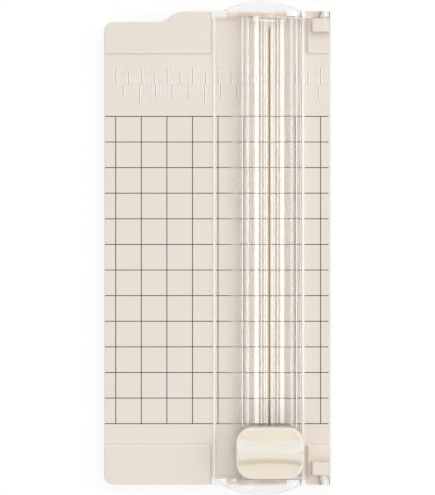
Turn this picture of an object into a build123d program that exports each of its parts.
from build123d import *
import os
from math import sqrt

# Sliding-blade paper trimmer for six-inch craft paper.
# All lengths are millimetres. +X is the user's right, +Y points away from the user, +Z is up.
# The origin lies on the table, under the middle of the trimmer.

# Base tray
base_width = 88.2
base_length = 184.4
bed_height = 8.0
foot_gap = 1.2
bed_thickness = 2.2
fence_height = 1.6
rear_fence_depth = 16.1
front_fence_depth = 15.3
left_corner_radius = 3.2
right_corner_radius = 0.6
fence_edge_radius = 0.5
bed_edge_radius = 0.4
rear_left_setback = 4.1
setback_curve_left = 20.7
setback_curve_run = 9.7
overcut = 1.0

# Ribbed underside
tray_wall = 2.0
rib_thickness = 1.2
spine_width = 8.4
pocket_end_margin = 6.2
left_pocket_columns = 4
pocket_rows = 11

# Rubber feet in sockets
foot_radius = 5.5
foot_socket_depth = 0.6
foot_socket_clearance = 0.1
foot_edge_radius = 0.4
foot_boss_wall = 1.5
foot_side_inset = 10.0
foot_end_inset = 14.0

# Hinge along the right edge
pin_radius = 1.5
pin_running_clearance = 0.06
pin_chamfer = 0.3
pin_end_recess = 0.2
ear_radius = 2.4
ear_floor_gap = 0.2
ear_pocket_gap = 0.4
knuckle_radius = 2.6
knuckle_edge_inset = 0.1
knuckle_length = 5.0
front_knuckle_gap = 1.8
rear_knuckle_gap = 0.8
knuckle_arm_gap = 1.5
knuckle_edge_radius = 1.0
open_angle = 105
stop_width = 1.0
stop_gap = 0.05

# Clear arm: sole plate, rails, guide ribs and blade slot. Reaches are measured from the cut line.
arm_hinge_gap = 4.8
ruler_reach = 21.9
flange_reach = 13.7
paper_gap = 0.25
sole_thickness = 1.4
ruler_bevel = 0.9
rail_lip_reach = 11.0
rail_web_inner = 6.8
rail_web_thickness = 1.4
rail_lip_thickness = 1.4
guide_rib_inner = 2.65
guide_rib_thickness = 1.25
guide_rib_height = 0.9
rail_round = 0.22
blade_slot_width = 0.7
blade_slot_end_margin = 4.5
channel_left_gap = 1.0
channel_right_gap = 1.1

# End caps of the arm
cap_thickness = 2.2
cap_rise = 0.7
cap_ruler_rise = 1.0
cap_shoulder_run = 1.8
cap_round = 0.8
left_leg_width = 4.3
right_leg_width = 5.6
leg_depth = 3.6
leg_gap = 0.8
leg_swing_gap = 0.25
notch_end_gap = 0.4
plug_depth = 1.8
plug_clearance = 0.1
plug_height = 1.6
tab_half_chord = 15.5
tab_reach = 4.1
tab_offset = 3.0
tab_thickness = 1.6
tab_edge_radius = 0.45

# Press stroke that cuts: the knob, the blade holder and the blade go down together
press_travel = 2.0
press_gap = 0.2
holder_floor_gap = 0.6
clamp_floor_gap = 0.2
blade_rest_clearance = 0.5

# Cutting strip under the cut line
strip_width = 6.0
strip_floor = 0.3
strip_end_inset = 5.2
strip_clearance = 0.05
groove_width = 0.6
groove_floor_gap = 0.25

# Slider carriage
runner_gap = 0.2
runner_side_gap = 0.3
skirt_thickness = 1.6
carriage_plate = 1.3
carriage_corner_radius = 5.6
hook_thickness = 1.3
hook_web_gap = 0.4
collar_height = 3.6
collar_wall = 1.2
collar_gap = 0.3
collar_end_gap = 0.2
window_gap = 0.3
parked_gap = 1.15

# Thumb knob
knob_length = 20.3
knob_side_overhang = 0.25
knob_end_overhang = 0.5
knob_corner_radius = 6.2
knob_wall = 1.5
knob_roof = 1.3
knob_edge_radius = 0.9
ridge_height = 3.0
ridge_half_run = 4.9
ridge_crest_radius = 2.5
boss_drop = 2.6
peg_radius = 1.0
peg_length = 1.2

# Blade holder, blade and screws
holder_gap = 0.15
holder_side_gap = 0.9
holder_end_margin = 0.95
holder_flange_thickness = 1.4
stem_half_width = 3.6
stem_wall = 0.7
clamp_side_gap = 0.75
clamp_wall = 0.4
blade_thickness = 0.4
blade_grip = 4.0
screw_radius = 0.85
screw_head_radius = 1.5
screw_head_height = 1.0
screw_head_gap = 0.15
screw_clearance = 0.1
screw_bite = 2.0
screw_slot_width = 0.6
screw_slot_depth = 0.5

# Return springs
spring_coil_radius = 1.6
spring_wire_radius = 0.25
spring_turns = 5
spring_end_gap = 0.02

# Places across the trimmer, from the right edge inwards
half_width = base_width / 2
half_length = base_length / 2
hinge_x = half_width - knuckle_edge_inset - knuckle_radius
arm_right = hinge_x - knuckle_radius - arm_hinge_gap
cut_x = arm_right - flange_reach
arm_left = cut_x - ruler_reach
channel_left = arm_left - channel_left_gap
channel_right = arm_right + channel_right_gap

# Levels above the table, from the bed upwards
fence_top = bed_height + fence_height
hinge_z = bed_height + ear_floor_gap + ear_radius
arm_bottom = bed_height + paper_gap
sole_top = arm_bottom + sole_thickness
rib_top = sole_top + guide_rib_height
flange_bottom = rib_top + holder_floor_gap + press_travel
flange_top = flange_bottom + holder_flange_thickness
clamp_bottom = sole_top + press_travel + clamp_floor_gap
plate_bottom = flange_top + holder_gap
plate_top = plate_bottom + carriage_plate
rail_top = plate_bottom - runner_gap
rail_height = rail_top - arm_bottom
hook_top = rail_top - rail_lip_thickness - runner_gap
hook_bottom = hook_top - hook_thickness
knob_rim = plate_top + press_travel + press_gap
collar_top = plate_top + collar_height
roof_bottom = collar_top + press_travel + press_gap
boss_bottom = roof_bottom - boss_drop
deck_top = roof_bottom + knob_roof
knob_top = deck_top + ridge_height
blade_tip = arm_bottom + blade_rest_clearance
blade_top = flange_bottom + blade_grip
groove_depth = press_travel - paper_gap - blade_rest_clearance + groove_floor_gap
strip_thickness = groove_depth + strip_floor

# Slider sizes, from the rail and the knob inwards
skirt_inner = rail_lip_reach + runner_side_gap
carriage_half_width = skirt_inner + skirt_thickness
knob_width = 2 * (carriage_half_width + knob_side_overhang)
carriage_length = knob_length - 2 * knob_end_overhang
collar_half_width = knob_width / 2 - knob_wall - collar_gap
collar_half_length = knob_length / 2 - knob_wall - collar_gap
collar_corner_radius = knob_corner_radius - knob_wall - collar_gap
stem_half_length = collar_half_length - collar_wall - collar_end_gap - window_gap
screw_offset = stem_half_length - stem_wall - screw_clearance - screw_radius
clamp_half_length = screw_offset - screw_head_radius - screw_head_gap
clamp_half_width = guide_rib_inner - clamp_side_gap
blade_half_length = clamp_half_length - clamp_wall
spring_offset = (stem_half_width + window_gap + collar_half_width - collar_wall) / 2

# Places along the trimmer
rail_half_length = half_length - cap_thickness
front_knuckle_inner = rail_half_length - front_knuckle_gap - knuckle_length
rear_knuckle_inner = rail_half_length - rear_knuckle_gap - knuckle_length
bed_front = front_fence_depth - half_length
bed_rear = half_length - rear_fence_depth
slider_y = parked_gap + carriage_length / 2 - rail_half_length
slider_place = (cut_x, slider_y)
screw_places = {
    "front_holder_screw": (cut_x, slider_y - screw_offset),
    "rear_holder_screw": (cut_x, slider_y + screw_offset),
}
spring_places = {
    "left_return_spring": (cut_x - spring_offset, slider_y),
    "right_return_spring": (cut_x + spring_offset, slider_y),
}
foot_places = {
    "foot_front_left": (foot_side_inset - half_width, foot_end_inset - half_length),
    "foot_front_right": (half_width - foot_side_inset, foot_end_inset - half_length),
    "foot_rear_left": (foot_side_inset - half_width, half_length - foot_end_inset),
    "foot_rear_right": (half_width - foot_side_inset, half_length - foot_end_inset),
}

os.makedirs("parts", exist_ok=True)

# Plan outline of the tray. The rear left edge is set back along an S-curve of two equal arcs,
# and each end has two notches for the legs of the end caps. As the arm lifts, the lower left corner
# of a leg swings outwards on a circle round the hinge until it has passed the bed.
curve_left = setback_curve_left - half_width
curve_right = curve_left + setback_curve_run
setback_y = half_length - rear_left_setback
notch_depth = cap_thickness + notch_end_gap
leg_drop = hinge_z - arm_bottom + leg_depth
notch_spans = []
for leg_left, leg_width in (
    (arm_left, left_leg_width),
    (arm_right - right_leg_width, right_leg_width),
):
    leg_swing = sqrt((hinge_x - leg_left) ** 2 + leg_drop**2 - (hinge_z - bed_height) ** 2)
    notch_spans.append((hinge_x - leg_swing - leg_swing_gap, leg_left + leg_width + leg_gap))

with BuildSketch() as tray_outline:
    Rectangle(base_width, base_length)
    with BuildLine():
        upper_arc = TangentArc(
            (curve_right, half_length),
            ((curve_left + curve_right) / 2, (half_length + setback_y) / 2),
            tangent=(-1, 0),
        )
        lower_arc = TangentArc(upper_arc @ 1, (curve_left, setback_y), tangent=upper_arc % 1)
        Polyline(
            lower_arc @ 1,
            (-half_width - overcut, setback_y),
            (-half_width - overcut, half_length + overcut),
            (curve_right, half_length + overcut),
            upper_arc @ 0,
        )
    make_face(mode=Mode.SUBTRACT)
    fillet(tray_outline.vertices().group_by(Axis.X)[0], radius=left_corner_radius)
    fillet(tray_outline.vertices().group_by(Axis.X)[-1], radius=right_corner_radius)
    for span_left, span_right in notch_spans:
        for end in (-1, 1):
            with Locations(((span_left + span_right) / 2, end * half_length)):
                Rectangle(span_right - span_left, 2 * notch_depth, mode=Mode.SUBTRACT)

# Base tray: slab, fences, strip channel, ribbed underside, foot bosses and hinge knuckles.
ear_pocket_depth = cap_thickness + ear_pocket_gap
pocket_height = bed_height - bed_thickness - foot_gap
pocket_field_length = base_length - 2 * pocket_end_margin
pocket_length = (pocket_field_length - (pocket_rows - 1) * rib_thickness) / pocket_rows
pocket_pitch = pocket_length + rib_thickness
left_field_width = half_width - tray_wall + cut_x - spine_width / 2
left_pocket_width = (left_field_width + rib_thickness) / left_pocket_columns - rib_thickness
right_pocket_width = half_width - tray_wall - cut_x - spine_width / 2

# The block of a knuckle is as high as its barrel and starts beside the channel of the arm.
knuckle_left = channel_right + knuckle_arm_gap
knuckle_top = hinge_z + knuckle_radius

with BuildPart() as base_tray:
    with BuildSketch(Plane.XY.offset(foot_gap)):
        add(tray_outline.sketch)
    extrude(amount=bed_height - foot_gap)
    bed_sides = base_tray.faces().sort_by(Axis.Z)[-1].edges().filter_by(Axis.Y)
    fillet(bed_sides.group_by(Axis.X)[0] + bed_sides.group_by(Axis.X)[-1], radius=bed_edge_radius)
    # Fences: the outline without the bed, the arm channel and the pockets under the ears.
    with BuildSketch(Plane.XY.offset(bed_height - bed_edge_radius)):
        add(tray_outline.sketch)
        with Locations((0, (bed_front + bed_rear) / 2)):
            Rectangle(base_width + overcut, bed_rear - bed_front, mode=Mode.SUBTRACT)
        with Locations(((channel_left + channel_right) / 2, 0)):
            Rectangle(channel_right - channel_left, base_length + overcut, mode=Mode.SUBTRACT)
        for end in (-1, 1):
            with Locations(((arm_right + half_width) / 2, end * half_length)):
                Rectangle(half_width - arm_right + overcut, 2 * ear_pocket_depth, mode=Mode.SUBTRACT)
    extrude(amount=fence_height + bed_edge_radius)
    fillet(base_tray.faces().group_by(Axis.Z)[-1].edges(), radius=fence_edge_radius)
    # Channel that holds the cutting strip.
    with BuildSketch(Plane.XY.offset(bed_height)):
        with Locations((cut_x, 0)):
            Rectangle(
                strip_width + 2 * strip_clearance,
                base_length - 2 * strip_end_inset + 2 * strip_clearance,
            )
    extrude(amount=-strip_thickness, mode=Mode.SUBTRACT)
    # Pockets between the ribs, with an uncut spine under the strip.
    with BuildSketch(Plane.XY.offset(foot_gap)):
        with Locations((tray_wall - half_width + left_field_width / 2, 0)):
            with GridLocations(
                left_pocket_width + rib_thickness, pocket_pitch, left_pocket_columns, pocket_rows
            ):
                Rectangle(left_pocket_width, pocket_length)
        with Locations((half_width - tray_wall - right_pocket_width / 2, 0)):
            with GridLocations(right_pocket_width, pocket_pitch, 1, pocket_rows):
                Rectangle(right_pocket_width, pocket_length)
    extrude(amount=pocket_height, mode=Mode.SUBTRACT)
    # Bosses with a socket for each foot.
    with BuildSketch(Plane.XY.offset(foot_gap)):
        with Locations(*foot_places.values()):
            Circle(foot_radius + foot_socket_clearance + foot_boss_wall)
    extrude(amount=pocket_height)
    with BuildSketch(Plane.XY.offset(foot_gap)):
        with Locations(*foot_places.values()):
            Circle(foot_radius + foot_socket_clearance)
    extrude(amount=foot_socket_depth, mode=Mode.SUBTRACT)
    # Hinge knuckles: a barrel round each pin in a flat-topped block, rounded towards the arm.
    # The bore of each goes on outwards over the fence, to the pocket under the ear.
    for end, knuckle_inner in ((-1, front_knuckle_inner), (1, rear_knuckle_inner)):
        with BuildSketch(Plane.XZ.offset(-end * knuckle_inner)) as knuckle:
            with Locations((hinge_x, hinge_z)):
                Circle(knuckle_radius)
            Polygon(
                (knuckle_left, bed_height),
                (hinge_x + knuckle_radius, bed_height),
                (hinge_x + knuckle_radius, hinge_z),
                (hinge_x, knuckle_top),
                (knuckle_left, knuckle_top),
                align=None,
            )
            fillet(knuckle.vertices().group_by(Axis.X)[0].sort_by(Axis.Y)[-1], radius=knuckle_edge_radius)
        extrude(amount=-end * knuckle_length)
        with BuildSketch(Plane.XZ.offset(-end * knuckle_inner)):
            with Locations((hinge_x, hinge_z)):
                Circle(pin_radius)
        extrude(amount=-end * (half_length + overcut - knuckle_inner), mode=Mode.SUBTRACT)
base_tray.part.label = "base_tray"
export_step(base_tray.part, "parts/base_tray.step")

# Cutting strip, flush with the bed, with the groove that the blade tip runs in.
with BuildPart() as cutting_strip:
    with BuildSketch(Plane.XZ):
        with Locations((cut_x, bed_height)):
            Rectangle(strip_width, strip_thickness, align=(Align.CENTER, Align.MAX))
            Rectangle(groove_width, groove_depth, align=(Align.CENTER, Align.MAX), mode=Mode.SUBTRACT)
    extrude(amount=half_length - strip_end_inset, both=True)
cutting_strip.part.label = "cutting_strip"
export_step(cutting_strip.part, "parts/cutting_strip.step")

# Rubber feet, with a softened lower edge.
for name, place in foot_places.items():
    with BuildPart() as foot:
        with BuildSketch(Plane.XY):
            with Locations(place):
                Circle(foot_radius)
        extrude(amount=foot_gap + foot_socket_depth)
        fillet(foot.edges().group_by(Axis.Z)[0], radius=foot_edge_radius)
    foot.part.label = name
    export_step(foot.part, f"parts/{name}.step")

# Hinge pins: pressed into the knuckles, running in the ears of the end caps.
pin_outer_y = half_length - pin_end_recess

for name, end, knuckle_inner in (
    ("front_hinge_pin", -1, front_knuckle_inner),
    ("rear_hinge_pin", 1, rear_knuckle_inner),
):
    pin_inner_y = knuckle_inner + pin_end_recess
    with BuildPart() as hinge_pin:
        with BuildSketch(Plane.XZ.offset(-end * pin_inner_y)):
            with Locations((hinge_x, hinge_z)):
                Circle(pin_radius)
        extrude(amount=-end * (pin_outer_y - pin_inner_y))
        chamfer(hinge_pin.edges().filter_by(GeomType.CIRCLE), length=pin_chamfer)
    hinge_pin.part.label = name
    export_step(hinge_pin.part, f"parts/{name}.step")

# Guide rail: the clear extrusion that presses on the paper and carries the slider.
with BuildPart() as guide_rail:
    with BuildSketch(Plane.XZ) as rail_section:
        Polygon(
            (arm_left, arm_bottom),
            (arm_right, arm_bottom),
            (arm_right, sole_top),
            (arm_left + ruler_bevel, sole_top),
            (arm_left, sole_top - ruler_bevel),
            align=None,
        )
        for side in (-1, 1):
            with Locations((cut_x + side * (rail_web_inner + rail_web_thickness / 2), arm_bottom)):
                Rectangle(rail_web_thickness, rail_height, align=(Align.CENTER, Align.MIN))
            with Locations((cut_x + side * (rail_web_inner + rail_lip_reach) / 2, rail_top)):
                Rectangle(
                    rail_lip_reach - rail_web_inner,
                    rail_lip_thickness,
                    align=(Align.CENTER, Align.MAX),
                )
            with Locations((cut_x + side * (guide_rib_inner + guide_rib_thickness / 2), arm_bottom)):
                Rectangle(
                    guide_rib_thickness,
                    sole_thickness + guide_rib_height,
                    align=(Align.CENTER, Align.MIN),
                )
        fillet(rail_section.vertices(), radius=rail_round)
    extrude(amount=rail_half_length, both=True)
    with BuildSketch(Plane.XY.offset(arm_bottom)):
        with Locations((cut_x, 0)):
            SlotOverall(2 * (rail_half_length - blade_slot_end_margin), blade_slot_width, rotation=90)
    extrude(amount=sole_thickness, mode=Mode.SUBTRACT)
guide_rail.part.label = "guide_rail"
export_step(guide_rail.part, "parts/guide_rail.step")

# Rear end cap: plate with legs and hinge ear, lift tab, and plug in the rail. The front cap mirrors it.
cap_top = rail_top + cap_rise
cap_ruler_top = sole_top + cap_ruler_rise
ear_top = hinge_z + ear_radius
tab_x = cut_x - tab_offset
stop_reach = sqrt((ear_radius + ear_floor_gap - stop_gap) ** 2 - (stop_width / 2) ** 2)

with BuildPart() as rear_end_cap:
    with BuildSketch(Plane.XZ.offset(-half_length)) as cap_face:
        Polygon(
            (arm_left, arm_bottom),
            (hinge_x, arm_bottom),
            (hinge_x, ear_top),
            (cut_x + rail_lip_reach + cap_shoulder_run, ear_top),
            (cut_x + rail_lip_reach, cap_top),
            (cut_x - rail_lip_reach, cap_top),
            (cut_x - rail_lip_reach - cap_shoulder_run, cap_ruler_top),
            (arm_left, cap_ruler_top),
            align=None,
        )
        fillet(cap_face.vertices().group_by(Axis.Y)[-1], radius=cap_round)
        with Locations((hinge_x, hinge_z)):
            Circle(ear_radius)
            # Stop lobe: points straight down at the tray when the arm is fully open.
            Rectangle(stop_reach, stop_width, rotation=open_angle - 90, align=(Align.MIN, Align.CENTER))
        with Locations((arm_left, arm_bottom)):
            Rectangle(left_leg_width, leg_depth, align=(Align.MIN, Align.MAX))
        with Locations((arm_right, arm_bottom)):
            Rectangle(right_leg_width, leg_depth, align=(Align.MAX, Align.MAX))
    extrude(amount=cap_thickness)
    with BuildSketch(Plane.XY.offset(arm_bottom)):
        with BuildLine():
            ThreePointArc(
                (tab_x - tab_half_chord, half_length),
                (tab_x, half_length + tab_reach),
                (tab_x + tab_half_chord, half_length),
            )
            Polyline(
                (tab_x + tab_half_chord, half_length),
                (tab_x + tab_half_chord, rail_half_length),
                (tab_x - tab_half_chord, rail_half_length),
                (tab_x - tab_half_chord, half_length),
            )
        make_face()
    extrude(amount=tab_thickness)
    tab_edges = rear_end_cap.edges().filter_by(GeomType.CIRCLE).sort_by(SortBy.LENGTH)[-2:]
    fillet(tab_edges, radius=tab_edge_radius)
    with BuildSketch(Plane.XZ.offset(-rail_half_length)):
        with Locations((cut_x, rib_top + plug_clearance)):
            Rectangle(2 * (rail_web_inner - plug_clearance), plug_height, align=(Align.CENTER, Align.MIN))
    extrude(amount=plug_depth)
    with BuildSketch(Plane.XZ.offset(-half_length)):
        with Locations((hinge_x, hinge_z)):
            Circle(pin_radius + pin_running_clearance)
    extrude(amount=cap_thickness, mode=Mode.SUBTRACT)
rear_end_cap.part.label = "rear_end_cap"
export_step(rear_end_cap.part, "parts/rear_end_cap.step")

with BuildPart() as front_end_cap:
    mirror(rear_end_cap.part, about=Plane.XZ)
front_end_cap.part.label = "front_end_cap"
export_step(front_end_cap.part, "parts/front_end_cap.step")

# Slider carriage: a plate over both rails, skirts with hooks under the lips, and a collar inside the knob.
hook_inner = rail_web_inner + rail_web_thickness + hook_web_gap

with BuildPart() as slider_carriage:
    with BuildSketch(Plane.XZ.offset(-slider_y)):
        with Locations((cut_x, plate_bottom)):
            Rectangle(2 * carriage_half_width, carriage_plate, align=(Align.CENTER, Align.MIN))
        for side in (-1, 1):
            with Locations((cut_x + side * (skirt_inner + carriage_half_width) / 2, hook_bottom)):
                Rectangle(skirt_thickness, plate_top - hook_bottom, align=(Align.CENTER, Align.MIN))
            with Locations((cut_x + side * (hook_inner + carriage_half_width) / 2, hook_bottom)):
                Rectangle(carriage_half_width - hook_inner, hook_thickness, align=(Align.CENTER, Align.MIN))
    extrude(amount=carriage_length / 2, both=True)
    with BuildSketch(Plane.XY.offset(hook_bottom)):
        with Locations(slider_place):
            RectangleRounded(2 * carriage_half_width, carriage_length, carriage_corner_radius)
    extrude(amount=plate_top - hook_bottom, mode=Mode.INTERSECT)
    with BuildSketch(Plane.XY.offset(plate_top)):
        with Locations(slider_place):
            RectangleRounded(2 * collar_half_width, 2 * collar_half_length, collar_corner_radius)
            RectangleRounded(
                2 * (collar_half_width - collar_wall),
                2 * (collar_half_length - collar_wall),
                collar_corner_radius - collar_wall,
                mode=Mode.SUBTRACT,
            )
    extrude(amount=collar_height)
    with BuildSketch(Plane.XY.offset(plate_bottom)):
        with Locations(slider_place):
            Rectangle(2 * (stem_half_width + window_gap), 2 * (stem_half_length + window_gap))
    extrude(amount=carriage_plate, mode=Mode.SUBTRACT)
slider_carriage.part.label = "slider_carriage"
export_step(slider_carriage.part, "parts/slider_carriage.step")

# Thumb knob: a rounded block whose top is a grip ridge between two finger decks.
# Each side of the ridge is a hollow arc and half of the crest arc, which turn through the same angle.
ridge_radius_sum = (ridge_half_run**2 + ridge_height**2) / (2 * ridge_height)
crest_half_width = ridge_half_run * ridge_crest_radius / ridge_radius_sum
crest_drop = ridge_height * ridge_crest_radius / ridge_radius_sum

with BuildPart() as thumb_knob:
    with BuildSketch(Plane.YZ.offset(cut_x)):
        with BuildLine():
            rear_hollow = TangentArc(
                (slider_y + ridge_half_run, deck_top),
                (slider_y + crest_half_width, knob_top - crest_drop),
                tangent=(-1, 0),
            )
            crest = TangentArc(
                rear_hollow @ 1,
                (slider_y - crest_half_width, knob_top - crest_drop),
                tangent=rear_hollow % 1,
            )
            front_hollow = TangentArc(
                crest @ 1,
                (slider_y - ridge_half_run, deck_top),
                tangent=crest % 1,
            )
            Polyline(
                front_hollow @ 1,
                (slider_y - knob_length, deck_top),
                (slider_y - knob_length, knob_rim),
                (slider_y + knob_length, knob_rim),
                (slider_y + knob_length, deck_top),
                rear_hollow @ 0,
            )
        make_face()
    extrude(amount=knob_width, both=True)
    with BuildSketch(Plane.XY.offset(knob_rim)):
        with Locations(slider_place):
            RectangleRounded(knob_width, knob_length, knob_corner_radius)
    extrude(amount=knob_top - knob_rim, mode=Mode.INTERSECT)
    upper_edges = thumb_knob.edges().filter_by_position(Axis.Z, deck_top, knob_top)
    ridge_seams = upper_edges.filter_by(Axis.X).filter_by_position(
        Axis.Y, slider_y - ridge_half_run, slider_y + ridge_half_run
    )
    fillet(upper_edges - ridge_seams, radius=knob_edge_radius)
    with BuildSketch(Plane.XY.offset(knob_rim)):
        with Locations(slider_place):
            RectangleRounded(
                knob_width - 2 * knob_wall,
                knob_length - 2 * knob_wall,
                knob_corner_radius - knob_wall,
            )
    extrude(amount=roof_bottom - knob_rim, mode=Mode.SUBTRACT)
    # Boss for the blade holder, pegs inside the springs and pilot holes for the screws.
    with BuildSketch(Plane.XY.offset(boss_bottom)):
        with Locations(slider_place):
            Rectangle(2 * stem_half_width, 2 * stem_half_length)
    extrude(amount=boss_drop)
    with BuildSketch(Plane.XY.offset(roof_bottom - peg_length)):
        with Locations(*spring_places.values()):
            Circle(peg_radius)
    extrude(amount=peg_length)
    with BuildSketch(Plane.XY.offset(boss_bottom)):
        with Locations(*screw_places.values()):
            Circle(screw_radius)
    extrude(amount=screw_bite, mode=Mode.SUBTRACT)
thumb_knob.part.label = "thumb_knob"
export_step(thumb_knob.part, "parts/thumb_knob.step")

# Blade holder: stem up to the knob, flange that keeps the knob in the carriage, clamp round the blade.
holder_flange_width = 2 * (rail_web_inner - holder_side_gap)
holder_flange_length = 2 * (screw_offset + screw_head_radius + holder_end_margin)

with BuildPart() as blade_holder:
    with BuildSketch(Plane.XY.offset(flange_bottom)):
        with Locations(slider_place):
            Rectangle(holder_flange_width, holder_flange_length)
    extrude(amount=holder_flange_thickness)
    with BuildSketch(Plane.XY.offset(flange_top)):
        with Locations(slider_place):
            Rectangle(2 * stem_half_width, 2 * stem_half_length)
    extrude(amount=boss_bottom - flange_top)
    with BuildSketch(Plane.XY.offset(clamp_bottom)):
        with Locations(slider_place):
            Rectangle(2 * clamp_half_width, 2 * clamp_half_length)
    extrude(amount=flange_bottom - clamp_bottom)
    with BuildSketch(Plane.XY.offset(clamp_bottom)):
        with Locations(slider_place):
            Rectangle(blade_thickness, 2 * blade_half_length)
    extrude(amount=blade_top - clamp_bottom, mode=Mode.SUBTRACT)
    with BuildSketch(Plane.XY.offset(flange_bottom)):
        with Locations(*screw_places.values()):
            Circle(screw_radius + screw_clearance)
    extrude(amount=boss_bottom - flange_bottom, mode=Mode.SUBTRACT)
blade_holder.part.label = "blade_holder"
export_step(blade_holder.part, "parts/blade_holder.step")

# Blade: a steel strip ground to a point with two cutting edges at 45 degrees.
blade_shoulder = blade_tip + blade_half_length

with BuildPart() as blade:
    with BuildSketch(Plane.YZ.offset(cut_x)):
        Polygon(
            (slider_y, blade_tip),
            (slider_y + blade_half_length, blade_shoulder),
            (slider_y + blade_half_length, blade_top),
            (slider_y - blade_half_length, blade_top),
            (slider_y - blade_half_length, blade_shoulder),
            align=None,
        )
    extrude(amount=blade_thickness / 2, both=True)
blade.part.label = "blade"
export_step(blade.part, "parts/blade.step")

# Holder screws: slotted pan heads under the flange, shanks up through the stem into the knob.
for name, place in screw_places.items():
    with BuildPart() as screw:
        with BuildSketch(Plane.XY.offset(flange_bottom - screw_head_height)):
            with Locations(place):
                Circle(screw_head_radius)
        extrude(amount=screw_head_height)
        with BuildSketch(Plane.XY.offset(flange_bottom)):
            with Locations(place):
                Circle(screw_radius)
        extrude(amount=boss_bottom + screw_bite - flange_bottom)
        with BuildSketch(Plane.XY.offset(flange_bottom - screw_head_height)):
            with Locations(place):
                Rectangle(2 * screw_head_radius, screw_slot_width)
        extrude(amount=screw_slot_depth, mode=Mode.SUBTRACT)
    screw.part.label = name
    export_step(screw.part, f"parts/{name}.step")

# Return springs: round wire wound between the carriage plate and the knob roof.
spring_foot = plate_top + spring_end_gap + spring_wire_radius
spring_rise = roof_bottom - plate_top - 2 * (spring_end_gap + spring_wire_radius)

for name, (spring_x, spring_y) in spring_places.items():
    with BuildPart() as spring:
        with BuildLine() as coil:
            Helix(
                pitch=spring_rise / spring_turns,
                height=spring_rise,
                radius=spring_coil_radius,
                center=(spring_x, spring_y, spring_foot),
            )
        with BuildSketch(Plane(origin=coil.line @ 0, z_dir=coil.line % 0)):
            Circle(spring_wire_radius)
        sweep(is_frenet=True)
    spring.part.label = name
    export_step(spring.part, f"parts/{name}.step")
